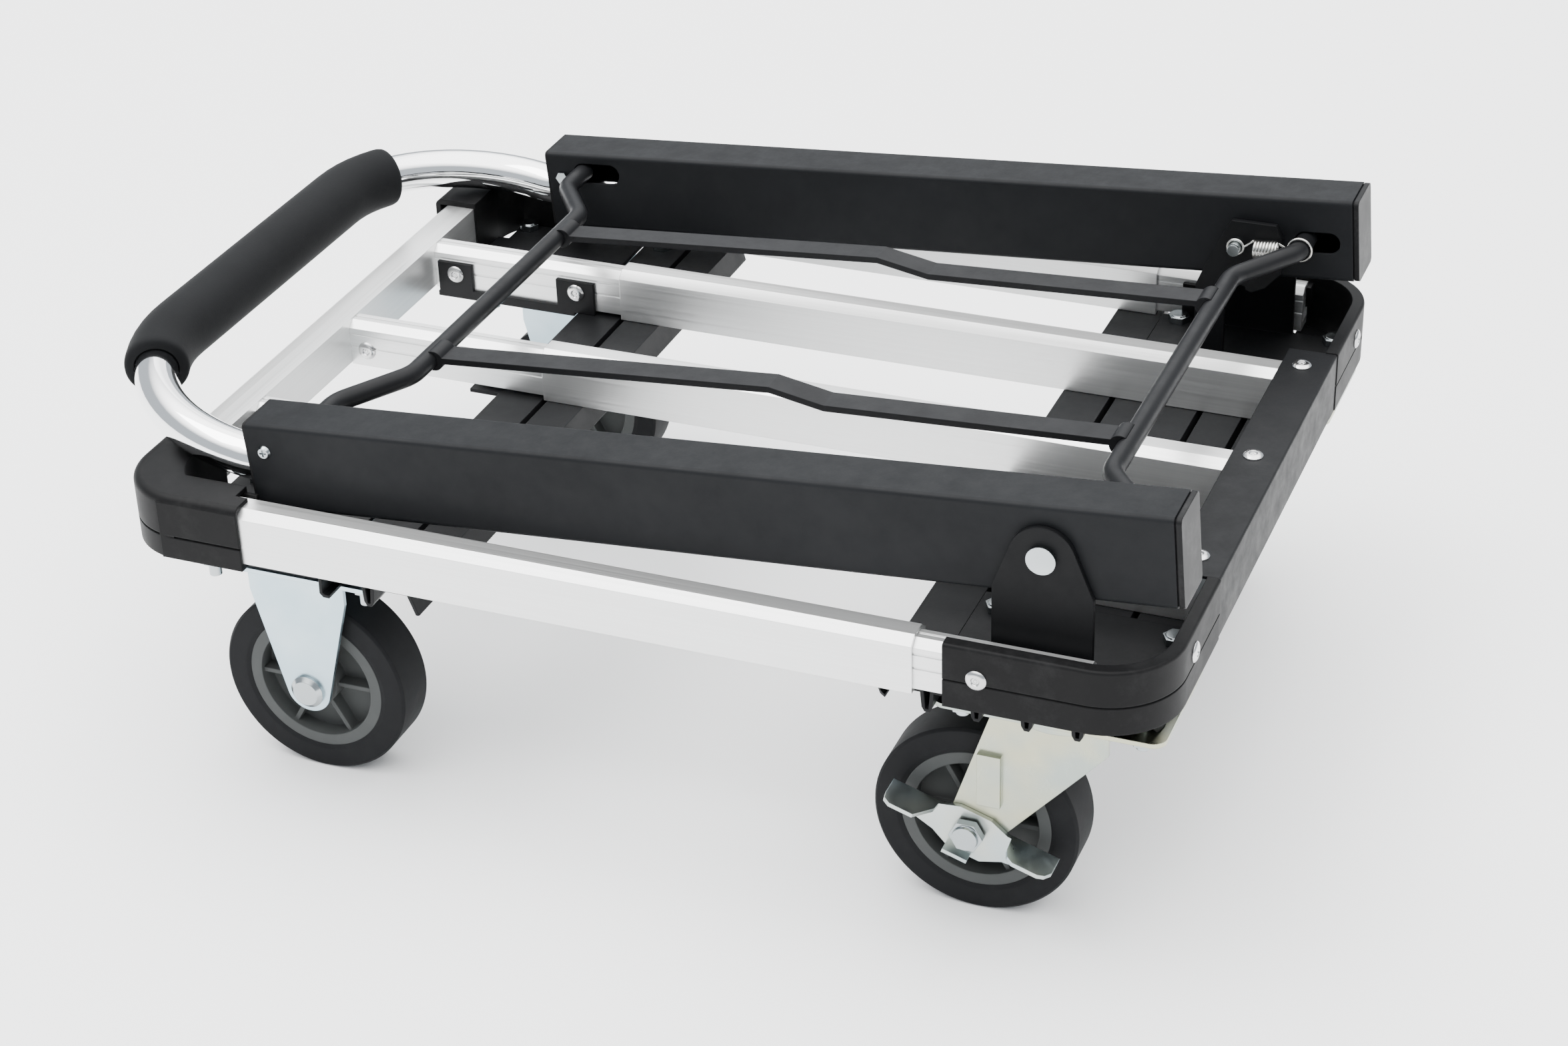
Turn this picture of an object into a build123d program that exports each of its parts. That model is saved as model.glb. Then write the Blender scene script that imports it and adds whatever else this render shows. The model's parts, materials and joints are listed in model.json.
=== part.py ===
from build123d import *
from math import cos, radians, sin, tan
import os

# Convertible hand truck, folded flat as a platform trolley, in millimetres.
# +X runs along the deck from the grip end to the pivot end, +Z is up.
# Origin: middle of the footprint, on the floor. "near" is the -Y side, "far" the +Y side.

# Deck
deck_top = 211.0
half_width = 257.0
rail_width = 23.5
rail_height = 35.4
rail_wall = 2.0
inner_width = 18.9
inner_height = 30.8
side_y = half_width - rail_width / 2
lane_y = 122.55
outer_side_x = (-255.0, 213.6)
inner_side_x = (-145.0, 313.0)
outer_deck_x = (-128.2, 354.8)
inner_deck_x = (-270.0, 190.0)
plate_top = deck_top - 35.8
sheet = 2.0
rib_pitch = 29.0
rib_depth = 14.6

# Handle
tilt = 4.35
pivot_x = 279.4
pivot_z = 260.9
post_right = 73.2
post_length = 569.0
post_left = post_right - post_length
post_top = 30.3
post_size = (36.0, 56.0)
post_wall = 1.6
post_y = 209.0
pin_radius = 4.0
tube_radius = 13.6
tube_bore = 12.1
tube_w = -2.2
kink_u = -502.8
tube_inner_end = -56.0
leg_y = 209.5
bend_radius = 106.0
grip_x = -336.9
grip_z = 238.5
foam_radius = 20.6
foam_turn = 28.0

# Release frame
rod_radius = 6.2
right_rod_u = 42.5
right_rod_w = 0.8
left_rod_u = -469.6
left_rod_w = 16.3

# Casters
wheel_radius = 62.5
caster_y = 193.5
fixed_x = -200.0
swivel_x = 285.0
trail = 50.0
mount_plate = (135.0, 90.0, 3.0)
mount_top = deck_top - 51.0
bolt_span = (105.0, 62.0)

u_dir = Vector(cos(radians(tilt)), 0, sin(radians(tilt)))
n_dir = Vector(-sin(radians(tilt)), 0, cos(radians(tilt)))
pivot = Vector(pivot_x, 0, pivot_z)
# Local x runs along the posts from the pivot, local y square to them and up, local z towards -Y.
POST = Plane(origin=pivot, x_dir=u_dir, z_dir=(0, -1, 0))
# Local x along the posts, local y along +Y, local z square to the posts.
FRAME = Plane(origin=pivot, x_dir=u_dir, z_dir=n_dir)
# Upright plane across the truck, local x = +X, local y = +Z, local z towards -Y.
SIDE = Plane(origin=(0, 0, 0), x_dir=(1, 0, 0), z_dir=(0, -1, 0))
# Plane across the rails, local x = +Y, local y = +Z, local z = +X.
END = Plane(origin=(0, 0, 0), x_dir=(0, 1, 0), z_dir=(1, 0, 0))

near_far = (("near", -1), ("far", 1))
os.makedirs("parts", exist_ok=True)


def hand_in(builder, name):
    builder.part.label = name
    export_step(builder.part, "parts/" + name + ".step")


def rail_points(y, width, height, top, chamfer_y, chamfer_z):
    return (
        (y - width / 2, top - height),
        (y + width / 2, top - height),
        (y + width / 2, top - chamfer_z),
        (y + width / 2 - chamfer_y, top),
        (y - width / 2 + chamfer_y, top),
        (y - width / 2, top - chamfer_z),
    )


def outer_rail(y, x_range):
    # Thin tube whose two top corners are cut off, inside as well as outside.
    with BuildPart() as rail:
        with BuildSketch(END.offset(x_range[0])):
            with BuildLine():
                Polyline(*rail_points(y, rail_width, rail_height, deck_top, 6, 5), close=True)
            make_face()
            with BuildLine():
                Polyline(
                    *rail_points(
                        y,
                        rail_width - 2 * rail_wall,
                        rail_height - 2 * rail_wall,
                        deck_top - rail_wall,
                        5.1,
                        4.2,
                    ),
                    close=True,
                )
            make_face(mode=Mode.SUBTRACT)
        extrude(amount=x_range[1] - x_range[0])
    return rail


def inner_rail(y, x_range):
    # Grooved tube that slides inside the outer one.
    middle_z = deck_top - rail_height / 2
    top_z = middle_z + inner_height / 2
    with BuildPart() as rail:
        with BuildSketch(END.offset(x_range[0])):
            with BuildLine():
                Polyline(*rail_points(y, inner_width, inner_height, top_z, 5.2, 4.4), close=True)
            make_face()
            with Locations((y, middle_z)):
                Rectangle(inner_width - 6, inner_height - 11, mode=Mode.SUBTRACT)
            with Locations((y, top_z)):
                Rectangle(1.6, 1.6, mode=Mode.SUBTRACT)
            for side in (-1, 1):
                with Locations((y + side * inner_width / 2, middle_z - 2)):
                    Rectangle(1.2, 1.4, mode=Mode.SUBTRACT)
                with Locations((y + side * inner_width / 2, middle_z + 7)):
                    Rectangle(1.2, 1.4, mode=Mode.SUBTRACT)
        extrude(amount=x_range[1] - x_range[0])
    return rail


# Rails: the side rails' outer tubes slide on inner tubes fixed to the pivot end.
# The three deck rails go the other way round.
for side_name, s in near_far:
    hand_in(outer_rail(s * side_y, outer_side_x), "side_outer_rail_" + side_name)
    hand_in(inner_rail(s * side_y, inner_side_x), "side_inner_rail_" + side_name)

for lane_name, y in (("near", -lane_y), ("middle", 0), ("far", lane_y)):
    hand_in(outer_rail(y, outer_deck_x), "deck_outer_rail_" + lane_name)
    hand_in(inner_rail(y, inner_deck_x), "deck_inner_rail_" + lane_name)

# Cross member at the grip end: rectangular tube, its ends seated in the corner castings.
member_x = (-296.2, -270.0)
member_z = (179.4, 209.6)
with BuildPart() as left_cross_member:
    with BuildSketch(SIDE.offset(-194)):
        with BuildLine():
            Polyline(
                (member_x[0], member_z[0]),
                (member_x[1], member_z[0]),
                (member_x[1], member_z[1]),
                (member_x[0] + 6, member_z[1]),
                (member_x[0], member_z[1] - 5),
                close=True,
            )
        make_face()
        with Locations(((member_x[0] + member_x[1]) / 2 + 1, 193)):
            Rectangle(20, 23, mode=Mode.SUBTRACT)
    extrude(amount=388)
hand_in(left_cross_member, "left_cross_member")

# End channel at the pivot end: sheet capping the deck rails' ends.
channel_x = (326.0, 357.0)
channel_half = 143.2
with BuildPart() as right_channel:
    with Locations(((channel_x[0] + channel_x[1]) / 2, 0, deck_top + 0.9)):
        Box(channel_x[1] - channel_x[0], 2 * channel_half, 1.8)
    with Locations((channel_x[1] - 1, 0, 192.5)):
        Box(2, 2 * channel_half, 38.6)
    fillet(right_channel.edges().filter_by(Axis.Y).group_by(Axis.Z)[-1].sort_by(Axis.X)[-1], 1.5)
hand_in(right_channel, "right_channel")

# Corner castings, black plastic, hollow towards the deck.
corner_round = 45.0
casting_y = 259.0
left_face = -300.0
right_face = 357.6
rim_top = deck_top + 2.5
for side_name, s in near_far:
    with BuildPart() as corner_left:
        with BuildSketch(Plane.XY.offset(171)):
            with Locations((left_face + 100, s * (casting_y - 100))):
                RectangleRounded(200, 200, corner_round)
        extrude(amount=rim_top - 171)
        fillet(corner_left.edges().group_by(Axis.Z)[-1], 5)
        # Pocket behind the rim
        with BuildSketch(Plane.XY.offset(160)):
            with Locations((-268.5 + 150, s * (243.5 - 150))):
                RectangleRounded(300, 300, 36)
        extrude(amount=60, mode=Mode.SUBTRACT)
        with Locations((-210 + 100, s * 200, 190)):
            Box(200, 200, 80, mode=Mode.SUBTRACT)
        with Locations((-285, s * 80, 190)):
            Box(200, 190, 80, mode=Mode.SUBTRACT)
        # Sleeve around the side rail's end
        with Locations((-237.5, s * 245, 190.2)):
            Box(55, 28, 38.4)
        with Locations((-241, s * 242.5, 210.5)):
            Box(46, 23, 6)
        with Locations((-205, s * side_y, 193.3)):
            Box(100, rail_width, rail_height, mode=Mode.SUBTRACT)
        with Locations((-283.1, s * 180, 194.5)):
            Box(26.2, 28, 30.2, mode=Mode.SUBTRACT)
        # Seam groove low on the outer face
        with BuildSketch(Plane.XY.offset(185.5)):
            with Locations((left_face + 100, s * (casting_y - 100))):
                RectangleRounded(200, 200, corner_round)
                RectangleRounded(198, 198, corner_round - 1, mode=Mode.SUBTRACT)
        extrude(amount=1.4, mode=Mode.SUBTRACT)
    hand_in(corner_left, "corner_left_" + side_name)

    with BuildPart() as corner_right:
        with BuildSketch(Plane.XY.offset(173)):
            with Locations((right_face - 100, s * (casting_y - 100))):
                RectangleRounded(200, 200, corner_round)
        extrude(amount=rim_top - 173)
        fillet(corner_right.edges().group_by(Axis.Z)[-1], 2)
        with BuildSketch(Plane.XY.offset(160)):
            with Locations((right_face - 8 - 100, s * (casting_y - 8 - 100))):
                RectangleRounded(200, 200, corner_round - 8)
        extrude(amount=60, mode=Mode.SUBTRACT)
        with Locations((232 - 100, s * 200, 190)):
            Box(200, 240, 80, mode=Mode.SUBTRACT)
        with Locations((290, s * (channel_half - 100), 190)):
            Box(300, 200.6, 80, mode=Mode.SUBTRACT)
        with Locations((244, s * 246, 188.7)):
            Box(24, 26, 26.6)
        with Locations((272.5, s * side_y, deck_top - rail_height / 2)):
            Box(81, inner_width, inner_height, mode=Mode.SUBTRACT)
        # Seam step half way down the outer face
        with BuildSketch(Plane.XY.offset(190)):
            with Locations((right_face - 100, s * (casting_y - 100))):
                RectangleRounded(200, 200, corner_round)
                RectangleRounded(198.4, 198.4, corner_round - 0.8, mode=Mode.SUBTRACT)
        extrude(amount=1.2, mode=Mode.SUBTRACT)
        # Locating fin behind the rim
        with Locations((315, s * 247.5, 200)):
            Box(3, 9, 14)
    hand_in(corner_right, "corner_right_" + side_name)


def rib_outline(x_start, ribs, x_end):
    # Outline of the folded sheet: flat panels, narrow hanging ribs, both end edges folded down.
    top = plate_top
    low = plate_top - rib_depth
    points = [(x_start, top)]
    for rib in range(1, ribs):
        x = x_start + rib * rib_pitch
        points += [(x + 2, top), (x + 3, low + sheet), (x + 5, low + sheet), (x + 6, top)]
    points += [(x_end, top), (x_end + 5.4, low), (x_end + 3.3, low), (x_end - 1.5, top - sheet)]
    for rib in range(ribs - 1, 0, -1):
        x = x_start + rib * rib_pitch
        points += [(x + 8, top - sheet), (x + 7.2, low + 3), (x + 5.5, low), (x + 2.5, low)]
        points += [(x + 0.8, low + 3), (x, top - sheet)]
    points += [(x_start + 2, top - sheet), (x_start + 1.6, low + 3), (x_start + 3.4, low + 2)]
    points += [(x_start + 6, low + 2), (x_start + 6, low), (x_start + 2, low)]
    points += [(x_start - 0.4, low + 2.5)]
    return points


def ribbed_sheet(x_start, ribs, x_end, half_length, end_radius, holes_x):
    with BuildPart() as plate:
        with BuildSketch(SIDE.offset(-half_length)):
            with BuildLine():
                Polyline(*rib_outline(x_start, ribs, x_end), close=True)
            make_face()
        extrude(amount=2 * half_length)
        with BuildSketch(Plane.XY.offset(plate_top - rib_depth - 5)):
            with Locations(((x_start - 10 + x_end + 6) / 2, 0)):
                RectangleRounded(x_end + 16 - x_start, 2 * half_length, end_radius)
        extrude(amount=rib_depth + 10, mode=Mode.INTERSECT)
        with BuildSketch(Plane.XY.offset(140)):
            with Locations((holes_x, -caster_y), (holes_x, caster_y)):
                with GridLocations(*bolt_span, 2, 2):
                    Circle(4.2)
        extrude(amount=60, mode=Mode.SUBTRACT)
    return plate


# Folded deck plates of black sheet under the rails
with BuildPart() as left_deck_plate:
    add(ribbed_sheet(-161.0, 2, -100.4, 254, 2, fixed_x).part)
    with Locations((-156, 0, plate_top - 1.25)):
        Box(52, rail_width, 2.5)
hand_in(left_deck_plate, "left_deck_plate")

with BuildPart() as right_deck_plate:
    add(ribbed_sheet(187.0, 5, 342.4, 250, 36, swivel_x).part)
hand_in(right_deck_plate, "right_deck_plate")

# Caster trays at the grip end: flat plates under the rails, with tabs riveted to the deck rail
tab_face = lane_y - inner_width / 2 - 2.5
for side_name, s in near_far:
    with BuildPart() as left_caster_tray:
        with Locations((-211.5, s * (tab_face + 230.5) / 2, plate_top - 1.25)):
            Box(96, 230.5 - tab_face, 2.5)
        with Locations((-261.5, s * (tab_face + 205) / 2, plate_top - 1.25)):
            Box(12, 205 - tab_face, 2.5)
        with Locations((-186.5, s * 235, plate_top - 1.25)):
            Box(46, 38, 2.5)
        with Locations((-253.5, s * (tab_face + 1.2), 187.5)):
            Box(26, 2.4, 23)
        with Locations((-162.0, s * (tab_face + 1.2), 187.5)):
            Box(28, 2.4, 23)
        with Locations((-207.3, s * (tab_face + 1.2), 177.3)):
            Box(118.6, 2.4, 4)
        with Locations((-215.5, s * (tab_face + 1.2), 174.5)):
            Box(104, 2.4, 3.6)
        with BuildSketch(Plane.XY.offset(140)):
            with Locations((fixed_x, s * caster_y)):
                with GridLocations(*bolt_span, 2, 2):
                    Circle(4.2)
        extrude(amount=60, mode=Mode.SUBTRACT)
    hand_in(left_caster_tray, "left_caster_tray_" + side_name)

# Pivot brackets: folded plate on the deck, a tall outer cheek and a toothed inner cheek
flange_top = deck_top - 32.4
cheek_outline = (
    (253, flange_top - 3),
    (273, flange_top - 3),
    (273, 226),
    (278, 232),
    (285.6, 231),
    (286, 228.5),
    (290, 227.2),
    (299, 231.6),
    (308.5, 243),
    (308.5, 267),
    (304, 276.5),
    (275, 276.5),
    (271, 270),
    (258, 241),
    (253, 228),
)
for side_name, s in near_far:
    with BuildPart() as pivot_bracket:
        with Locations((282.5, s * 188.5, flange_top - 1.5)):
            Box(125, 85, 3)
        with BuildSketch(SIDE.offset(-s * 228)):
            with Locations((pivot_x, pivot_z)):
                Circle(19)
            with Locations((280, (flange_top - 3 + 239) / 2)):
                Rectangle(58, 239 - flange_top + 3)
            make_hull()
        extrude(amount=-s * 3)
        with BuildSketch(SIDE.offset(-s * 184)):
            with BuildLine():
                Polyline(*cheek_outline, close=True)
            make_face()
        extrude(amount=-s * 3.5)
        with BuildSketch(SIDE.offset(-s * 170)):
            with Locations((pivot_x, pivot_z)):
                Circle(pin_radius)
        extrude(amount=-s * 80, mode=Mode.SUBTRACT)
        with BuildSketch(Plane.XY.offset(150)):
            with Locations((swivel_x, s * caster_y)):
                with GridLocations(*bolt_span, 2, 2):
                    Circle(4.2)
        extrude(amount=30, mode=Mode.SUBTRACT)
    hand_in(pivot_bracket, "pivot_bracket_" + side_name)

# Pivot pins: riveted outside, with a grooved end that holds a spring inside
with BuildPart() as pivot_pins:
    for s in (-1, 1):
        with BuildSketch(SIDE.offset(-s * 172)):
            with Locations((pivot_x, pivot_z)):
                Circle(pin_radius)
        extrude(amount=-s * 59)
        with BuildSketch(SIDE.offset(-s * 231)):
            with Locations((pivot_x, pivot_z)):
                Circle(8.5)
        extrude(amount=-s * 3)
        with BuildSketch(SIDE.offset(-s * 173.4)):
            with Locations((pivot_x, pivot_z)):
                Circle(5)
                Circle(3.3, mode=Mode.SUBTRACT)
        extrude(amount=-s * 1, mode=Mode.SUBTRACT)
hand_in(pivot_pins, "pivot_pins")

# Rivets: domed heads on the sheet and castings
with BuildPart() as right_rivets:
    with Locations(
        (339, -lane_y, deck_top + 1.8), (339, 0, deck_top + 1.8), (339, lane_y, deck_top + 1.8)
    ):
        Cone(6, 3.5, 2, align=(Align.CENTER, Align.CENTER, Align.MIN))
    for s in (-1, 1):
        with Locations(Location((251.6, s * casting_y, 194), (-90 * s, 0, 0))):
            Cone(6, 3.5, 2, align=(Align.CENTER, Align.CENTER, Align.MIN))
        with Locations(Location((right_face, s * 198, 198), (0, 90, 0))):
            Cone(6, 3.5, 2, align=(Align.CENTER, Align.CENTER, Align.MIN))
hand_in(right_rivets, "right_rivets")

with BuildPart() as left_rivets:
    for s in (-1, 1):
        for x in (-253.2, -161.4):
            with Locations(Location((x, s * tab_face, 190.8), (90 * s, 0, 0))):
                Cone(6, 4, 1.8, align=(Align.CENTER, Align.CENTER, Align.MIN))
        with Locations(Location((-258.1, s * inner_width / 2, 189.3), (-90 * s, 0, 0))):
            Cone(6, 4, 1.8, align=(Align.CENTER, Align.CENTER, Align.MIN))
hand_in(left_rivets, "left_rivets")


def bolt(x, y, head_z, nut_z, tip_z):
    # Hexagon head on top, nut under the caster plate.
    with BuildPart() as one:
        with BuildSketch(Plane.XY.offset(head_z)):
            with Locations((x, y)):
                RegularPolygon(6.5, 6, major_radius=False)
        extrude(amount=4.4)
        with BuildSketch(Plane.XY.offset(head_z + 4.4)):
            with Locations((x, y)):
                Circle(6)
        extrude(amount=1, taper=35)
        with BuildSketch(Plane.XY.offset(tip_z)):
            with Locations((x, y)):
                Circle(4)
        extrude(amount=head_z - tip_z)
    with BuildPart() as two:
        with BuildSketch(Plane.XY.offset(nut_z)):
            with Locations((x, y)):
                RegularPolygon(6.5, 6, major_radius=False)
                Circle(4.1, mode=Mode.SUBTRACT)
        extrude(amount=-6.5)
    return [one.part, two.part]


plate_low = mount_top - mount_plate[2]
right_bolts = []
left_bolts = []
for s in (-1, 1):
    for y in (s * caster_y - bolt_span[1] / 2, s * caster_y + bolt_span[1] / 2):
        for x in (swivel_x - bolt_span[0] / 2, swivel_x + bolt_span[0] / 2):
            right_bolts += bolt(x, y, flange_top, plate_low, plate_low - 10)
        left_bolts += bolt(fixed_x - bolt_span[0] / 2, y, plate_top, plate_low, plate_low - 15)
        x = fixed_x + bolt_span[0] / 2
        left_bolts += bolt(x, y, plate_top, plate_low, plate_low - 15)
with BuildPart() as right_caster_bolts:
    add(right_bolts)
hand_in(right_caster_bolts, "right_caster_bolts")
with BuildPart() as left_caster_bolts:
    add(left_bolts)
    # Spacer tubes between the sheets and the casters
    for y in (-caster_y, caster_y):
        with BuildSketch(Plane.XY.offset(mount_top)):
            with Locations((fixed_x, y)):
                with GridLocations(*bolt_span, 2, 2):
                    Circle(6.2)
                    Circle(4.1, mode=Mode.SUBTRACT)
        extrude(amount=plate_top - 2.5 - mount_top)
hand_in(left_caster_bolts, "left_caster_bolts")

# Casters
axle_z = wheel_radius
fork_gap = 21.5
fork_sheet = 3.0
axle_radius = 6.0
for side_name, s in near_far:
    # Fixed caster: top plate and two cheeks in one pressing
    with BuildPart() as fixed_fork:
        with Locations((fixed_x, s * caster_y, mount_top - 1.5)):
            Box(*mount_plate)
        with Locations((fixed_x - 1, s * caster_y, mount_top - 4.5)):
            Box(66, 2 * (fork_gap + fork_sheet), 3)
        for side in (-1, 1):
            face = s * caster_y + side * fork_gap
            with BuildSketch(SIDE.offset(-face)):
                with Locations((fixed_x - 1, axle_z)):
                    Circle(15)
                with Locations((fixed_x - 1, (plate_low + 131) / 2)):
                    Rectangle(66, plate_low - 131)
                make_hull()
            extrude(amount=-side * fork_sheet)
        with BuildSketch(SIDE.offset(-s * caster_y - 40)):
            with Locations((fixed_x - 1, axle_z)):
                Circle(axle_radius)
        extrude(amount=80, mode=Mode.SUBTRACT)
        with BuildSketch(Plane.XY.offset(140)):
            with Locations((fixed_x, s * caster_y)):
                with GridLocations(*bolt_span, 2, 2):
                    Circle(4.2)
        extrude(amount=30, mode=Mode.SUBTRACT)
    hand_in(fixed_fork, "fixed_fork_" + side_name)

    # Swivel caster: mounting plate with the king pin, fixed to the deck
    with BuildPart() as swivel_plate:
        with Locations((swivel_x, s * caster_y, mount_top - 1.5)):
            Box(*mount_plate)
        fillet(swivel_plate.edges().filter_by(Axis.Z), 8)
        with BuildSketch(Plane.XY.offset(140)):
            with Locations((swivel_x, s * caster_y)):
                with GridLocations(*bolt_span, 2, 2):
                    Circle(4.2)
        extrude(amount=30, mode=Mode.SUBTRACT)
        with BuildSketch(Plane.XY.offset(plate_low)):
            with Locations((swivel_x, s * caster_y)):
                Circle(5)
        extrude(amount=-17)
        with BuildSketch(Plane.XY.offset(plate_low - 12.4)):
            with Locations((swivel_x, s * caster_y)):
                RegularPolygon(9, 6, major_radius=False)
        extrude(amount=-4.6)
    hand_in(swivel_plate, "swivel_plate_" + side_name)

    # Swivelling fork: race cup, crown and two raked cheeks
    crown_top = plate_low - 6.8
    with BuildPart() as swivel_fork:
        with BuildSketch(Plane.XY.offset(crown_top - 5.2)):
            with Locations((swivel_x, s * caster_y)):
                Circle(33)
        extrude(amount=5.2)
        with BuildSketch(Plane.XY.offset(crown_top)):
            with Locations((swivel_x, s * caster_y)):
                Circle(33)
                Circle(25, mode=Mode.SUBTRACT)
        extrude(amount=5.8)
        for side in (-1, 1):
            face = s * caster_y + side * fork_gap
            with BuildSketch(SIDE.offset(-face)):
                with Locations((swivel_x - trail, axle_z)):
                    Circle(15)
                with Locations((swivel_x, crown_top - 12.2)):
                    Rectangle(62, 14)
                with Locations((swivel_x - 34, crown_top - 12.2)):
                    Rectangle(8, 14)
                make_hull()
            extrude(amount=-side * fork_sheet)
        # Raised strap lanced out of the outer cheek
        with Locations((swivel_x - trail + 11.5, s * (caster_y + fork_gap + 4.5), 100)):
            Box(14, 3, 35)
        with BuildSketch(SIDE.offset(-s * caster_y - 40)):
            with Locations((swivel_x - trail, axle_z)):
                Circle(axle_radius)
        extrude(amount=80, mode=Mode.SUBTRACT)
        with BuildSketch(Plane.XY.offset(120)):
            with Locations((swivel_x, s * caster_y)):
                Circle(5.05)
        extrude(amount=60, mode=Mode.SUBTRACT)
    hand_in(swivel_fork, "swivel_fork_" + side_name)

# Race balls of both swivels
with BuildPart() as swivel_balls:
    for y in (-caster_y, caster_y):
        with Locations((swivel_x, y, plate_low - 3.5)):
            with PolarLocations(18, 12):
                Sphere(3)
hand_in(swivel_balls, "swivel_balls")

wheels = (
    ("left_near", fixed_x - 1, -caster_y),
    ("left_far", fixed_x - 1, caster_y),
    ("right_near", swivel_x - trail, -caster_y),
    ("right_far", swivel_x - trail, caster_y),
)
rim_radius = 46.0
for wheel_name, x, y in wheels:
    hub = Plane(origin=(x, y, axle_z), x_dir=(1, 0, 0), z_dir=(0, -1, 0))
    with BuildPart() as tyre:
        with BuildSketch(Plane(origin=(x, y, axle_z), x_dir=(0, 1, 0), z_dir=(1, 0, 0))):
            with BuildLine():
                Polyline(
                    (-15, rim_radius),
                    (15, rim_radius),
                    (16, 49),
                    (16, wheel_radius - 1.6),
                    (14.4, wheel_radius),
                    (-14.4, wheel_radius),
                    (-16, wheel_radius - 1.6),
                    (-16, 49),
                    close=True,
                )
            make_face()
        revolve(axis=Axis((x, y, axle_z), (0, 1, 0)))
    hand_in(tyre, "tyre_" + wheel_name)

    with BuildPart() as rim:
        with BuildSketch(hub.offset(-15)):
            Circle(rim_radius)
            Circle(38.5, mode=Mode.SUBTRACT)
            Circle(15)
            Circle(10, mode=Mode.SUBTRACT)
        extrude(amount=30)
        with BuildSketch(hub.offset(-3)):
            Circle(40)
            Circle(12, mode=Mode.SUBTRACT)
        extrude(amount=6)
        with BuildSketch(hub.offset(-12)):
            with PolarLocations(26.5, 6):
                Rectangle(26, 3)
        extrude(amount=24)
    hand_in(rim, "rim_" + wheel_name)

    with BuildPart() as bearing:
        with BuildSketch(hub.offset(-19.5)):
            Circle(10)
            Circle(axle_radius + 0.05, mode=Mode.SUBTRACT)
        extrude(amount=39)
    hand_in(bearing, "bearing_" + wheel_name)

# Axles: a bolt with a domed head and a nut
with BuildPart() as fixed_axles:
    for s in (-1, 1):
        with BuildSketch(SIDE.offset(-s * (caster_y - 30))):
            with Locations((fixed_x - 1, axle_z)):
                Circle(axle_radius)
        extrude(amount=-s * 57)
        with BuildSketch(SIDE.offset(-s * (caster_y + 24.5))):
            with Locations((fixed_x - 1, axle_z)):
                Circle(11)
        extrude(amount=-s * 2)
        with BuildSketch(SIDE.offset(-s * (caster_y + 26.5))):
            with Locations((fixed_x - 1, axle_z)):
                Circle(11)
        extrude(amount=-s * 2.4, taper=48)
        with BuildSketch(SIDE.offset(-s * (caster_y - 24.5))):
            with Locations((fixed_x - 1, axle_z)):
                RegularPolygon(9, 6, major_radius=False)
        extrude(amount=s * 7)
hand_in(fixed_axles, "fixed_axles")

for side_name, s in near_far:
    axle_x = swivel_x - trail
    with BuildPart() as swivel_axle:
        with BuildSketch(SIDE.offset(-s * (caster_y - 32))):
            with Locations((axle_x, axle_z)):
                Circle(axle_radius)
        extrude(amount=-s * 68)
        with BuildSketch(SIDE.offset(-s * (caster_y - 24.5))):
            with Locations((axle_x, axle_z)):
                RegularPolygon(9, 6, major_radius=False)
        extrude(amount=s * 6)
        with BuildSketch(SIDE.offset(-s * (caster_y + 29.2))):
            with Locations((axle_x, axle_z)):
                RegularPolygon(9, 6, major_radius=False)
        extrude(amount=-s * 5)
        with BuildSketch(SIDE.offset(-s * (caster_y + 34.2))):
            with Locations((axle_x, axle_z)):
                Circle(8)
        extrude(amount=-s * 2.2, taper=12)
    hand_in(swivel_axle, "swivel_axle_" + side_name)

    # Brake pedal: rocker on the axle with two treads folded outward
    with BuildPart() as brake_pedal:
        rocker = Plane(
            origin=(axle_x, s * (caster_y + 24.7), axle_z),
            x_dir=(cos(radians(18)), 0, -sin(radians(18))),
            z_dir=(0, s, 0),
        )
        rise = -s
        with BuildSketch(rocker):
            with BuildLine():
                Polyline(
                    (-52, 9 * rise),
                    (-22, 9 * rise),
                    (-10, 14 * rise),
                    (10, 14 * rise),
                    (22, 9 * rise),
                    (54, 9 * rise),
                    (50, -6 * rise),
                    (24, -10 * rise),
                    (12, -17 * rise),
                    (-8, -17 * rise),
                    (-20, -10 * rise),
                    (-48, -3 * rise),
                    close=True,
                )
            make_face()
            Circle(axle_radius + 0.05, mode=Mode.SUBTRACT)
        extrude(amount=3)
        with BuildSketch(rocker):
            with Locations((-2, -15.8 * rise)):
                Rectangle(16, 2.4)
        extrude(amount=10)
        up = rocker.y_dir * rise
        tread = Plane(origin=rocker.origin + up * 6.4, x_dir=rocker.x_dir, z_dir=up)
        for outline in (
            ((-52, 0), (-22, 0), (-23, 9), (-32, 22), (-47, 22), (-51, 19), (-52, 14)),
            ((24, 0), (54, 0), (54, 15), (51, 20), (47, 22), (31, 22), (27, 19), (25, 13)),
        ):
            with BuildSketch(tread):
                with BuildLine():
                    Polyline(*[(x, s * y) for x, y in outline], close=True)
                make_face()
            extrude(amount=2.6)
    hand_in(brake_pedal, "brake_pedal_" + side_name)

# Handle posts: rectangular tube
post_mid_w = post_top - post_size[1] / 2
post_inner = (post_size[0] - 2 * post_wall, post_size[1] - 2 * post_wall)
left_screw = (post_left + 11, post_top - 17.5)


def across(u):
    # Plane square to the posts at distance u from the pivot, local x = +Y.
    return Plane(origin=pivot + u_dir * u, x_dir=(0, 1, 0), z_dir=u_dir)


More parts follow.
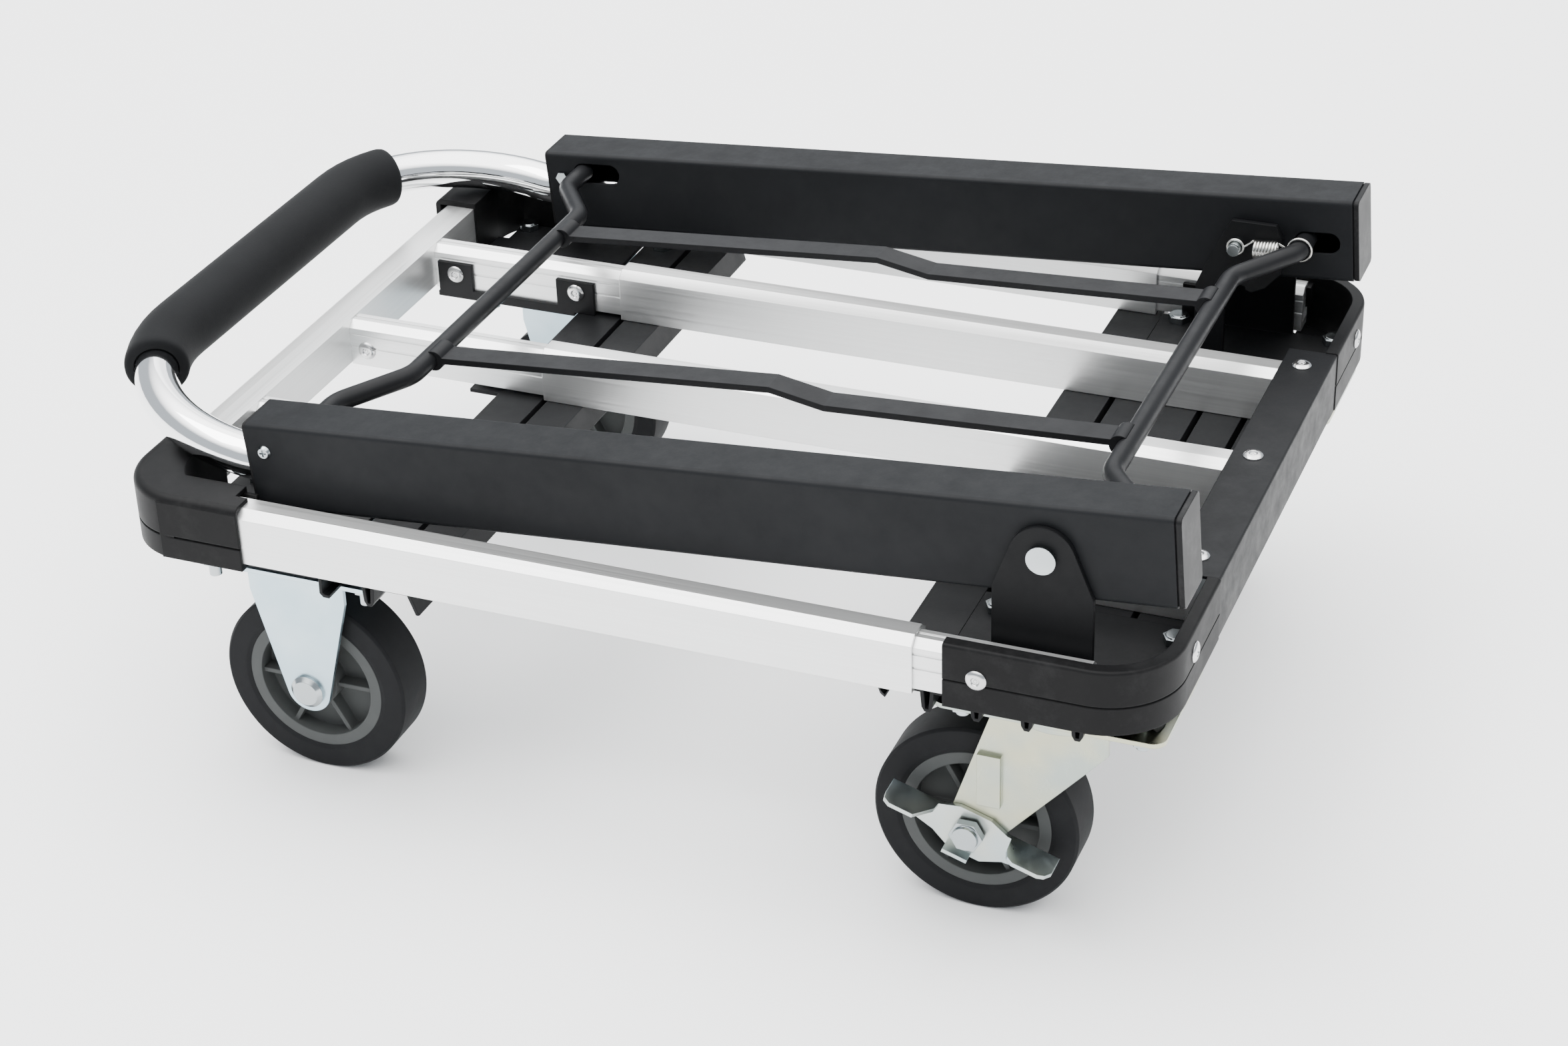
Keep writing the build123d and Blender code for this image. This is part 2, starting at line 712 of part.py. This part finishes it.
for side_name, s in near_far:
    inner_face = s * (post_y - post_size[0] / 2)
    with BuildPart() as post:
        with BuildSketch(across(post_left)):
            with Locations((s * post_y, post_mid_w)):
                RectangleRounded(*post_size, 3)
                RectangleRounded(*post_inner, 1.5, mode=Mode.SUBTRACT)
        extrude(amount=post_length)
        with BuildSketch(POST.offset(-s * (post_y - 25))):
            Circle(pin_radius + 0.05)
            with Locations(left_screw):
                Circle(2.2)
        extrude(amount=-s * 50, mode=Mode.SUBTRACT)
        with BuildSketch(POST.offset(-inner_face + s)):
            with Locations((50.4, right_rod_w)):
                SlotOverall(29.6, 14.4)
            with Locations((-458.8, left_rod_w)):
                SlotOverall(34.8, 14.4)
        extrude(amount=-s * 6, mode=Mode.SUBTRACT)
    hand_in(post, "post_" + side_name)

# Plugs: a cap on the pivot end and a guide collar for the chrome tube in the other end
with BuildPart() as post_plugs:
    for s in (-1, 1):
        with BuildSketch(across(post_right)):
            with Locations((s * post_y, post_mid_w)):
                RectangleRounded(post_size[0] - 2.4, post_size[1] - 2.4, 2.5)
        extrude(amount=0.9)
        with BuildSketch(across(post_right + 0.9)):
            with Locations((s * post_y, post_mid_w)):
                RectangleRounded(post_size[0] - 0.4, post_size[1] - 0.4, 3.5)
        extrude(amount=3.1)
        with BuildSketch(across(post_right)):
            with Locations((s * post_y, post_mid_w)):
                RectangleRounded(post_inner[0] - 0.2, post_inner[1] - 0.2, 1.6)
                Rectangle(post_inner[0] - 5, post_inner[1] - 5, mode=Mode.SUBTRACT)
        extrude(amount=-7)
        with BuildSketch(across(post_left)):
            with Locations((s * post_y, post_mid_w)):
                RectangleRounded(*post_size, 3)
            with Locations((s * leg_y, tube_w)):
                Circle(tube_radius + 0.1, mode=Mode.SUBTRACT)
        extrude(amount=-1.5)
        with BuildSketch(across(post_left)):
            with Locations((s * post_y, post_mid_w)):
                RectangleRounded(post_inner[0] - 0.2, post_inner[1] - 0.2, 1.6)
            with Locations((s * leg_y, tube_w)):
                Circle(tube_radius + 0.1, mode=Mode.SUBTRACT)
        extrude(amount=17)
        with BuildSketch(POST.offset(-s * (post_y - 25))):
            with Locations(left_screw):
                Circle(2.2)
        extrude(amount=-s * 50, mode=Mode.SUBTRACT)
hand_in(post_plugs, "post_plugs")

# Cross-head screws through the collars, with hexagon nuts on the inner faces
with BuildPart() as post_screws:
    for s in (-1, 1):
        outer_face = post_y + post_size[0] / 2
        with BuildSketch(POST.offset(-s * outer_face)):
            with Locations(left_screw):
                Circle(4.4)
        extrude(amount=-s * 2.2, taper=28)
        with BuildSketch(POST.offset(-s * (outer_face + 1))):
            with Locations(left_screw):
                Rectangle(4.4, 1)
                Rectangle(1, 4.4)
        extrude(amount=-s * 2, mode=Mode.SUBTRACT)
        for start, length in ((post_y - 21.4, 10), (outer_face - 10, 10)):
            with BuildSketch(POST.offset(-s * start)):
                with Locations(left_screw):
                    Circle(2.15)
            extrude(amount=-s * length)
        with BuildSketch(POST.offset(-s * (post_y - post_size[0] / 2))):
            with Locations(left_screw):
                RegularPolygon(4, 6, major_radius=False)
                Circle(2.15, mode=Mode.SUBTRACT)
        extrude(amount=s * 3.4)
hand_in(post_screws, "post_screws")

# Chrome U-tube: straight legs in the posts, then bent up towards the grip
kink = pivot + u_dir * kink_u + n_dir * tube_w
run = Vector(kink.X - grip_x, 0, kink.Z - grip_z)
reach = run.length
slope_dir = run.normalized()
BOW = Plane(origin=kink, x_dir=slope_dir, z_dir=(-slope_dir.Z, 0, slope_dir.X))
kink_radius = 50.0
bend_y = leg_y - bend_radius
half_kink = radians(u_dir.get_angle(slope_dir)) / 2
kink_set_back = kink_radius * tan(half_kink)
kink_depth = kink_radius / cos(half_kink) - kink_radius
kink_inward = (u_dir - slope_dir).normalized()
bend_mid = (
    bend_radius - reach - bend_radius * cos(radians(45)),
    bend_y + bend_radius * sin(radians(45)),
)


def bow_point(x, y):
    return BOW.from_local_coords(Vector(x, y, 0))


def half_tube(s):
    # Points of one half from the post to the grip: line, small bend, line, large bend.
    side = Vector(0, s * leg_y, 0)
    return (
        pivot + u_dir * tube_inner_end + n_dir * tube_w + side,
        kink + u_dir * kink_set_back + side,
        kink + kink_inward * kink_depth + side,
        kink - slope_dir * kink_set_back + side,
        bow_point(bend_radius - reach, s * leg_y),
        bow_point(bend_mid[0], s * bend_mid[1]),
        bow_point(-reach, s * bend_y),
    )


near_points = half_tube(-1)
far_points = half_tube(1)
with BuildPart() as u_tube:
    with BuildLine() as tube_line:
        for points in (near_points, far_points):
            Line(points[0], points[1])
            ThreePointArc(points[1], points[2], points[3])
            Line(points[3], points[4])
            ThreePointArc(points[4], points[5], points[6])
        Line(near_points[6], far_points[6])
    tube_path = tube_line.wires()[0]
    with BuildSketch(Plane(origin=tube_path @ 0, z_dir=tube_path % 0)):
        Circle(tube_radius)
        Circle(tube_bore, mode=Mode.SUBTRACT)
    sweep(path=tube_path)
hand_in(u_tube, "u_tube")

# Foam grip over the straight part and the start of both bends
with BuildPart() as foam_grip:
    with BuildLine(BOW) as foam_line:
        Line((-reach, -bend_y), (-reach, bend_y))
        CenterArc((bend_radius - reach, bend_y), bend_radius, 180, -foam_turn)
        CenterArc((bend_radius - reach, -bend_y), bend_radius, 180 + foam_turn, -foam_turn)
    foam_path = foam_line.wires()[0]
    for radius, mode in ((foam_radius, Mode.ADD), (tube_radius, Mode.SUBTRACT)):
        with BuildSketch(Plane(origin=foam_path @ 0, z_dir=foam_path % 0)):
            Circle(radius)
        sweep(path=foam_path, mode=mode)
hand_in(foam_grip, "foam_grip")

# Release frame: two bent cross rods and two flat bars joined by weld
left_mid_u = left_rod_u + 30
right_mid_u = right_rod_u - 33


def bent_rod(end_u, middle_u, w, end_y, knees):
    half = ((end_u, end_y), (end_u, knees[0]), (middle_u, knees[1]))
    points = [(u, -y) for u, y in half] + [(u, y) for u, y in half[::-1]]
    with BuildPart() as rod:
        with BuildLine(FRAME.offset(w)) as rod_line:
            FilletPolyline(*points, radius=22)
        with BuildSketch(Plane(origin=rod_line.line @ 0, z_dir=rod_line.line % 0)):
            Circle(rod_radius)
        sweep(path=rod_line.line)
    return rod.part


with BuildPart() as release_rods:
    add(bent_rod(left_rod_u, left_mid_u, left_rod_w, 195, (165, 122)))
    add(bent_rod(right_rod_u, right_mid_u, right_rod_w, 198, (176, 132)))
hand_in(release_rods, "release_rods")

bar_y = 93.0
bar_centre = ((left_mid_u, 16.6), (-210, 17.4), (-176, 8.4), (right_mid_u, 3.4))
with BuildPart() as release_bars:
    for s in (-1, 1):
        with BuildSketch(POST.offset(s * bar_y - 8.75)):
            with BuildLine():
                Polyline(
                    *[(u, w + 2) for u, w in bar_centre],
                    *[(u, w - 2) for u, w in bar_centre[::-1]],
                    close=True,
                )
            make_face()
            # Weld beads at both rods
            with Locations((left_mid_u + 4, left_rod_w), (right_mid_u - 4, right_rod_w + 1)):
                Circle(6.6)
        extrude(amount=17.5)
    for u, w in ((left_mid_u, left_rod_w), (right_mid_u, right_rod_w)):
        with BuildSketch(POST.offset(-120)):
            with Locations((u, w)):
                Circle(rod_radius)
        extrude(amount=240, mode=Mode.SUBTRACT)
    # Trim what the bead leaves beyond the rods
    with BuildSketch(POST.offset(-120)):
        with Locations((left_mid_u - 20, left_rod_w), (right_mid_u + 20, right_rod_w)):
            Rectangle(40, 30)
    extrude(amount=240, mode=Mode.SUBTRACT)
hand_in(release_bars, "release_bars")

# Tension springs between the pivot pins and the rod at the pivot end
coil_y = 177.2
ring_y = 178.5
coil_radius = 5.2
wire_radius = 0.85
coil_turns = 8
coil_u = (12.0, 28.0)


def spring_point(u, y, w):
    return pivot + u_dir * u + n_dir * w + Vector(0, y, 0)


coil_length = coil_u[1] - coil_u[0]
with BuildPart() as coil_body:
    with BuildLine() as coil:
        Helix(
            pitch=coil_length / coil_turns,
            height=coil_length,
            radius=coil_radius,
            center=spring_point(coil_u[0], -coil_y, 0),
            direction=u_dir,
        )
    with BuildSketch(Plane(origin=coil.line @ 0, z_dir=coil.line % 0)):
        Circle(wire_radius)
    sweep(path=coil.line, is_frenet=True)
# Each end loop has a straight tail that meets the coil's end
end_loops = []
for loop_u, loop_w, loop_radius, side, coil_end in (
    (0, 0, 5.1, 1, coil.line @ 0),
    (41.9, right_rod_w, 7.6, -1, coil.line @ 1),
):
    tail_start = spring_point(loop_u + side * (loop_radius + 0.2), -ring_y, loop_w)
    tail = coil_end - tail_start
    with BuildPart() as end_loop:
        with Locations(Location(spring_point(loop_u, -ring_y, loop_w), (90, 0, 0))):
            Torus(loop_radius, wire_radius)
        with BuildSketch(Plane(origin=tail_start, z_dir=tail)):
            Circle(wire_radius * 0.8)
        extrude(amount=tail.length - wire_radius - 0.1)
    end_loops.append(end_loop.part)
with BuildPart() as release_springs:
    add([coil_body.part, *end_loops])
    mirror(about=Plane.XZ)
hand_in(release_springs, "release_springs")
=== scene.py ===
import bpy
import json
import math
from mathutils import Matrix, Vector


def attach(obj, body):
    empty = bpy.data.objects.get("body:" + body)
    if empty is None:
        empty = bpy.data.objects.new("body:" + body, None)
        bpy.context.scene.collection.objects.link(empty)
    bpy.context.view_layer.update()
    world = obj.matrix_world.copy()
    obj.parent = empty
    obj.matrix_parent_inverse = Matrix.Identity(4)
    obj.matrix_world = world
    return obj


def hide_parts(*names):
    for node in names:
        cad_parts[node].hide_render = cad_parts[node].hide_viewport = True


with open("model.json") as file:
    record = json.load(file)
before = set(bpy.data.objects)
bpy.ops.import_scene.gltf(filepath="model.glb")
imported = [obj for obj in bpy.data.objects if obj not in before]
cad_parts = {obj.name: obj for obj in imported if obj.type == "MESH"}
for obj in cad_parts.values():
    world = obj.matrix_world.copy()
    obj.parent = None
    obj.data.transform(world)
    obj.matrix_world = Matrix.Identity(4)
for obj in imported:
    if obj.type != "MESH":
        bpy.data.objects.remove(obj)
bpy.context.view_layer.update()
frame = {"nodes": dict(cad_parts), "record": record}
nodes = frame["nodes"]
slot_of = {s["node"]: s["material_slot"] for s in frame["record"]["subparts"]}


# ---------- materials ----------
def new_material(name, colour, metallic, roughness):
    material = bpy.data.materials.new(name)
    material.use_nodes = True
    shader = material.node_tree.nodes["Principled BSDF"]
    shader.inputs["Base Color"].default_value = (*colour, 1)
    shader.inputs["Metallic"].default_value = metallic
    shader.inputs["Roughness"].default_value = roughness
    return material, shader


def link(material, source, target):
    material.node_tree.links.new(source, target)


def object_noise(material, scale, stretch=(1, 1, 1), detail=4.0, roughness=0.55):
    tree = material.node_tree
    where = tree.nodes.new("ShaderNodeTexCoord")
    mapping = tree.nodes.new("ShaderNodeMapping")
    mapping.inputs["Scale"].default_value = stretch
    noise = tree.nodes.new("ShaderNodeTexNoise")
    noise.inputs["Scale"].default_value = scale
    noise.inputs["Detail"].default_value = detail
    noise.inputs["Roughness"].default_value = roughness
    link(material, where.outputs["Object"], mapping.inputs["Vector"])
    link(material, mapping.outputs["Vector"], noise.inputs["Vector"])
    return noise.outputs["Fac"]


def spread(material, value, low, high, from_low=0.3, from_high=0.7):
    node = material.node_tree.nodes.new("ShaderNodeMapRange")
    node.inputs["From Min"].default_value = from_low
    node.inputs["From Max"].default_value = from_high
    node.inputs["To Min"].default_value = low
    node.inputs["To Max"].default_value = high
    link(material, value, node.inputs["Value"])
    return node.outputs["Result"]


def mixed(material, value, first, second, low=0.35, high=0.65):
    ramp = material.node_tree.nodes.new("ShaderNodeValToRGB")
    ramp.color_ramp.elements[0].position = low
    ramp.color_ramp.elements[0].color = (*first, 1)
    ramp.color_ramp.elements[1].position = high
    ramp.color_ramp.elements[1].color = (*second, 1)
    link(material, value, ramp.inputs["Fac"])
    return ramp.outputs["Color"]


def surface(material, shader, height=None, strength=0.1, distance=0.0003, edge=0.0006):
    tree = material.node_tree
    bevel = tree.nodes.new("ShaderNodeBevel")
    bevel.samples = 6
    bevel.inputs["Radius"].default_value = edge
    normal = bevel.outputs["Normal"]
    if height is not None:
        bump = tree.nodes.new("ShaderNodeBump")
        bump.inputs["Strength"].default_value = strength
        bump.inputs["Distance"].default_value = distance
        link(material, height, bump.inputs["Height"])
        link(material, normal, bump.inputs["Normal"])
        normal = bump.outputs["Normal"]
    link(material, normal, shader.inputs["Normal"])


def powder_coat(name, colour, roughness):
    material, shader = new_material(name, colour, 0.0, roughness)
    shader.inputs["Specular IOR Level"].default_value = 0.11
    cloud = object_noise(material, 9, detail=6)
    paler = tuple(c * 1.2 + 0.001 for c in colour)
    link(material, mixed(material, cloud, colour, paler), shader.inputs["Base Color"])
    grain = object_noise(material, 60, detail=8, roughness=0.7)
    link(
        material,
        spread(material, grain, roughness - 0.07, roughness + 0.1),
        shader.inputs["Roughness"],
    )
    peel = object_noise(material, 900, detail=2)
    surface(material, shader, peel, 0.12, 0.0002, 0.0009)
    return material


def extruded_aluminium(name, along):
    # along is the noise scale on each axis: the streaks run along its small number.
    base = (0.78, 0.785, 0.78)
    roughness = 0.34
    material, shader = new_material(name, base, 0.88, roughness)
    streaks = object_noise(material, 3.0, along, detail=4, roughness=0.5)
    darker = tuple(c * 0.95 for c in base)
    link(material, mixed(material, streaks, darker, base, 0.35, 0.6), shader.inputs["Base Color"])
    link(
        material,
        spread(material, streaks, roughness - 0.04, roughness + 0.06),
        shader.inputs["Roughness"],
    )
    surface(material, shader, streaks, 0.03, 0.0001, 0.0005)
    return material


def plated(name, base, tint, roughness):
    # Zinc: faint patches of another tint, small stains, a slightly wavy shine.
    material, shader = new_material(name, base, 1.0, roughness)
    patches = object_noise(material, 22, detail=2)
    link(material, mixed(material, patches, base, tint, 0.4, 0.62), shader.inputs["Base Color"])
    stains = object_noise(material, 90, detail=4, roughness=0.6)
    link(
        material,
        spread(material, stains, roughness - 0.05, roughness + 0.08),
        shader.inputs["Roughness"],
    )
    waves = object_noise(material, 25, detail=1)
    surface(material, shader, waves, 0.05, 0.0005, 0.0005)
    return material


def moulded(name, colour, roughness, grain_scale=1400, scuffs=0.02):
    material, shader = new_material(name, colour, 0.0, roughness)
    shader.inputs["Specular IOR Level"].default_value = 0.1
    scuff = object_noise(material, 40, detail=9, roughness=0.75)
    paler = tuple(c + scuffs for c in colour)
    link(material, mixed(material, scuff, colour, paler, 0.5, 0.78), shader.inputs["Base Color"])
    link(
        material,
        spread(material, scuff, roughness - 0.06, roughness + 0.08),
        shader.inputs["Roughness"],
    )
    grain = object_noise(material, grain_scale, detail=2)
    surface(material, shader, grain, 0.1, 0.0002, 0.0012)
    return material


def chrome_plate(name):
    material, shader = new_material(name, (0.9, 0.905, 0.91), 1.0, 0.05)
    haze = object_noise(material, 30, detail=7, roughness=0.7)
    link(material, spread(material, haze, 0.035, 0.1), shader.inputs["Roughness"])
    specks = object_noise(material, 260, detail=3)
    link(
        material,
        mixed(material, specks, (0.42, 0.3, 0.2), (0.9, 0.905, 0.91), 0.19, 0.23),
        shader.inputs["Base Color"],
    )
    surface(material, shader, edge=0.0004)
    return material


def foam(name):
    material, shader = new_material(name, (0.006, 0.0063, 0.0069), 0.0, 0.8)
    shader.inputs["Specular IOR Level"].default_value = 0.1
    shader.inputs["Sheen Weight"].default_value = 0.03
    shader.inputs["Sheen Roughness"].default_value = 0.5
    cells = object_noise(material, 700, detail=4, roughness=0.7)
    surface(material, shader, cells, 0.35, 0.0004, 0.0015)
    cloud = object_noise(material, 14, detail=4)
    link(
        material,
        mixed(material, cloud, (0.0052, 0.0055, 0.0061), (0.0072, 0.0076, 0.0083)),
        shader.inputs["Base Color"],
    )
    return material


materials = {
    "post_black": powder_coat("post_black", (0.0062, 0.0067, 0.0076), 0.5),
    "deck_black": powder_coat("deck_black", (0.007, 0.0072, 0.0078), 0.4),
    "bracket_black": powder_coat("bracket_black", (0.0036, 0.0038, 0.0043), 0.46),
    "channel_black": powder_coat("channel_black", (0.006, 0.0063, 0.007), 0.48),
    "frame_black": powder_coat("frame_black", (0.0075, 0.0077, 0.0085), 0.38),
    "rail_aluminium": extruded_aluminium("rail_aluminium", (1.2, 260, 260)),
    "tube_chrome": chrome_plate("tube_chrome"),
    "grip_foam": foam("grip_foam"),
    "corner_plastic": moulded("corner_plastic", (0.0044, 0.0044, 0.0047), 0.5, scuffs=0.009),
    "plug_plastic": moulded("plug_plastic", (0.008, 0.008, 0.0085), 0.44),
    "tyre_rubber": moulded("tyre_rubber", (0.0085, 0.0088, 0.0096), 0.62, 700, 0.005),
    "rim_grey": moulded("rim_grey", (0.062, 0.065, 0.064), 0.5, 900, 0.01),
    "bearing_steel": plated("bearing_steel", (0.4, 0.4, 0.4), (0.33, 0.31, 0.28), 0.4),
    "spring_steel": plated("spring_steel", (0.62, 0.62, 0.6), (0.5, 0.48, 0.44), 0.25),
    "rivet_aluminium": plated("rivet_aluminium", (0.66, 0.66, 0.66), (0.52, 0.52, 0.52), 0.2),
    "fork_blue_zinc": plated("fork_blue_zinc", (0.5, 0.61, 0.66), (0.44, 0.56, 0.62), 0.36),
    "fork_yellow_zinc": plated("fork_yellow_zinc", (0.33, 0.37, 0.34), (0.42, 0.42, 0.31), 0.3),
    "pedal_yellow_zinc": plated("pedal_yellow_zinc", (0.4, 0.47, 0.5), (0.46, 0.49, 0.46), 0.32),
    "ball_steel": plated("ball_steel", (0.7, 0.7, 0.7), (0.6, 0.6, 0.6), 0.15),
    "fastener_zinc": plated("fastener_zinc", (0.42, 0.45, 0.46), (0.34, 0.37, 0.38), 0.18),
}
member_aluminium = extruded_aluminium("member_aluminium", (260, 1.2, 260))

for name, node in nodes.items():
    node.data.materials.clear()
    node.data.materials.append(materials[slot_of[name]])
    node.data.shade_smooth()
    node.data.set_sharp_from_angle(angle=math.radians(32))
nodes["left_cross_member"].data.materials[0] = member_aluminium


# ---------- finer pieces in place of plain CAD ones ----------
def mesh_object(name, points, faces, material, body, smooth=35):
    mesh = bpy.data.meshes.new(name)
    mesh.from_pydata(points, [], faces)
    mesh.validate()
    mesh.materials.append(material)
    piece = bpy.data.objects.new(name, mesh)
    bpy.context.scene.collection.objects.link(piece)
    mesh.shade_smooth()
    mesh.set_sharp_from_angle(angle=math.radians(smooth))
    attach(piece, body)
    return piece


def swept(centres, radii, segments):
    # Rings square to a path: centres is a list of (point, direction), radii one radius each.
    points = []
    faces = []
    for (centre, direction), radius in zip(centres, radii):
        side = direction.cross(Vector((0, 0, 1))).normalized()
        over = side.cross(direction).normalized()
        for k in range(segments):
            angle = 2 * math.pi * k / segments
            around = side * radius * math.cos(angle) + over * radius * math.sin(angle)
            points.append(centre + around)
    for ring in range(len(centres) - 1):
        for k in range(segments):
            a = ring * segments + k
            b = ring * segments + (k + 1) % segments
            faces.append((a, b, b + segments, a + segments))
    return points, faces


def lathe(profile, centre, axis, segments=40):
    # profile is a list of (radius, height along axis).
    axis = Vector(axis).normalized()
    helper = Vector((0, 0, 1)) if abs(axis.z) < 0.9 else Vector((1, 0, 0))
    first = axis.cross(helper).normalized()
    second = axis.cross(first)
    points = []
    faces = []
    for radius, height in profile:
        for k in range(segments):
            angle = 2 * math.pi * k / segments
            around = first * math.cos(angle) + second * math.sin(angle)
            points.append(Vector(centre) + around * radius + axis * height)
    for ring in range(len(profile) - 1):
        for k in range(segments):
            a = ring * segments + k
            b = ring * segments + (k + 1) % segments
            faces.append((a, b, b + segments, a + segments))
    faces.append(tuple(range(segments))[::-1])
    faces.append(tuple(range((len(profile) - 1) * segments, len(profile) * segments)))
    return points, faces


def joined(parts):
    points = []
    faces = []
    for part_points, part_faces in parts:
        offset = len(points)
        points += part_points
        faces += [tuple(i + offset for i in face) for face in part_faces]
    return points, faces


# Foam grip: soft rounded ends, inside the room of the CAD solid
post_tilt = math.radians(4.35)
along_post = Vector((math.cos(post_tilt), 0, math.sin(post_tilt)))
across_post = Vector((-math.sin(post_tilt), 0, math.cos(post_tilt)))
pivot = Vector((0.2794, 0, 0.2609))
kink = pivot + along_post * -0.5028 + across_post * -0.0022
grip_middle_x = -0.3369
grip_middle_z = 0.2385
slope = Vector((kink.x - grip_middle_x, 0, kink.z - grip_middle_z))
reach = slope.length
slope.normalize()
leg_y = 0.2095
bend_radius = 0.106
bend_y = leg_y - bend_radius
foam_turn = math.radians(28)
foam_length = bend_y + bend_radius * foam_turn
foam_radius = 0.0205
bore_radius = 0.0142


def foam_point(s):
    # s runs from -1 to 1 along the grip.
    d = abs(s) * foam_length
    sign = 1 if s >= 0 else -1
    if d <= bend_y:
        place = kink - slope * reach + Vector((0, sign * d, 0))
        return place, Vector((0, 1, 0))
    angle = (d - bend_y) / bend_radius
    place = (
        kink
        - slope * (reach - bend_radius * (1 - math.cos(angle)))
        + Vector((0, sign * (bend_y + bend_radius * math.sin(angle)), 0))
    )
    direction = slope * sign * math.sin(angle) + Vector((0, math.cos(angle), 0))
    return place, direction


rounded_end = [(-1, bore_radius), (-1, 0.0172), (-0.9985, 0.0188)]
rounded_end += [(-0.992, 0.0199), (-0.978, 0.0204)]
stations = rounded_end + [(-0.96 + 0.06 * k, foam_radius) for k in range(33)]
stations += [(-s, r) for s, r in reversed(rounded_end)]
outside = swept([foam_point(s) for s, r in stations], [r for s, r in stations], 72)
inside_stations = [1 - k / 20 for k in range(41)]
inside = swept(
    [foam_point(s) for s in inside_stations], [bore_radius] * len(inside_stations), 72
)
foam_grip = mesh_object(
    "foam_sleeve",
    *joined([outside, inside]),
    materials["grip_foam"],
    "grip",
    60,
)
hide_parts("foam_grip")

# Blind rivets: domed flange with the broken pin in its middle
rivet_profile = [
    (0.0061, 0.0),
    (0.0062, 0.0005),
    (0.0055, 0.0013),
    (0.0042, 0.0019),
    (0.0028, 0.0020),
    (0.0022, 0.0014),
    (0.0021, 0.0009),
    (0.0012, 0.0009),
    (0.0010, 0.0012),
]
# Each rivet is its seat and the direction its head points in
lane_y = 0.12255
rivets = {
    "deck_base": [((0.339, y, 0.2128), (0, 0, 1)) for y in (-lane_y, 0, lane_y)],
    "deck_extension": [],
}
for s in (-1, 1):
    rivets["deck_base"].append(((0.2516, s * 0.259, 0.194), (0, s, 0)))
    rivets["deck_base"].append(((0.3576, s * 0.198, 0.198), (1, 0, 0)))
    for x in (-0.2532, -0.1614):
        rivets["deck_extension"].append(((x, s * 0.1106, 0.1908), (0, -s, 0)))
    rivets["deck_extension"].append(((-0.2581, s * 0.00945, 0.1893), (0, s, 0)))
for body, node in (("deck_base", "right_rivets"), ("deck_extension", "left_rivets")):
    piece = mesh_object(
        node + "_domed",
        *joined([lathe(rivet_profile, centre, axis) for centre, axis in rivets[body]]),
        materials["rivet_aluminium"],
        body,
    )
    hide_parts(node)


# ---------- surroundings ----------
floor_mesh = bpy.data.meshes.new("floor")
floor_mesh.from_pydata([(-9, -9, 0), (9, -9, 0), (9, 9, 0), (-9, 9, 0)], [], [(0, 1, 2, 3)])
floor = bpy.data.objects.new("floor", floor_mesh)
bpy.context.scene.collection.objects.link(floor)
floor_material, floor_shader = new_material("floor", (0.97, 0.97, 0.97), 0.0, 0.85)
floor.data.materials.append(floor_material)

# The studio around: grey near the horizon and white overhead, so that tubes show darker bands
world = bpy.data.worlds.new("studio")
world.use_nodes = True
world_nodes = world.node_tree.nodes
direction = world_nodes.new("ShaderNodeTexCoord")
height = world_nodes.new("ShaderNodeSeparateXYZ")
sky = world_nodes.new("ShaderNodeValToRGB")
sky.color_ramp.elements[0].position = 0.52
sky.color_ramp.elements[0].color = (0.13, 0.14, 0.15, 1)
sky.color_ramp.elements[1].position = 0.8
sky.color_ramp.elements[1].color = (1, 1, 1, 1)
world.node_tree.links.new(direction.outputs["Generated"], height.inputs["Vector"])
world.node_tree.links.new(height.outputs["Z"], sky.inputs["Fac"])
world.node_tree.links.new(sky.outputs["Color"], world_nodes["Background"].inputs["Color"])
world_nodes["Background"].inputs["Strength"].default_value = 5.6
bpy.context.scene.world = world


def area_light(name, place, target, width, height, power):
    data = bpy.data.lights.new(name, "AREA")
    data.shape = "RECTANGLE"
    data.size = width
    data.size_y = height
    data.energy = power
    light = bpy.data.objects.new(name, data)
    bpy.context.scene.collection.objects.link(light)
    light.location = place
    aim = (Vector(target) - Vector(place)).to_track_quat("-Z", "Y")
    light.rotation_euler = aim.to_euler()
    return light


area_light("key", (-1.0, -0.5, 2.6), (0, 0, 0.1), 1.6, 1.6, 40)
area_light("back", (-0.6, 2.2, 1.6), (0, 0, 0.2), 2.4, 1.0, 16)

# ---------- camera ----------
camera_place = (0.7023, -1.6041, 1.1304)
azimuth = math.radians(22.633)
elevation = math.radians(30.485)
roll = math.radians(-1.851)
back = Vector(
    (
        math.sin(azimuth) * math.cos(elevation),
        -math.cos(azimuth) * math.cos(elevation),
        math.sin(elevation),
    )
)
level_right = Vector((math.cos(azimuth), math.sin(azimuth), 0))
level_up = back.cross(level_right)
right = level_right * math.cos(roll) + level_up * math.sin(roll)
up = level_up * math.cos(roll) - level_right * math.sin(roll)
camera_data = bpy.data.cameras.new("camera")
camera_data.lens = 71.42
camera_data.sensor_width = 36
camera = bpy.data.objects.new("camera", camera_data)
bpy.context.scene.collection.objects.link(camera)
turned = Matrix((right, up, back)).transposed().to_4x4()
camera.matrix_world = Matrix.Translation(camera_place) @ turned
bpy.context.scene.camera = camera
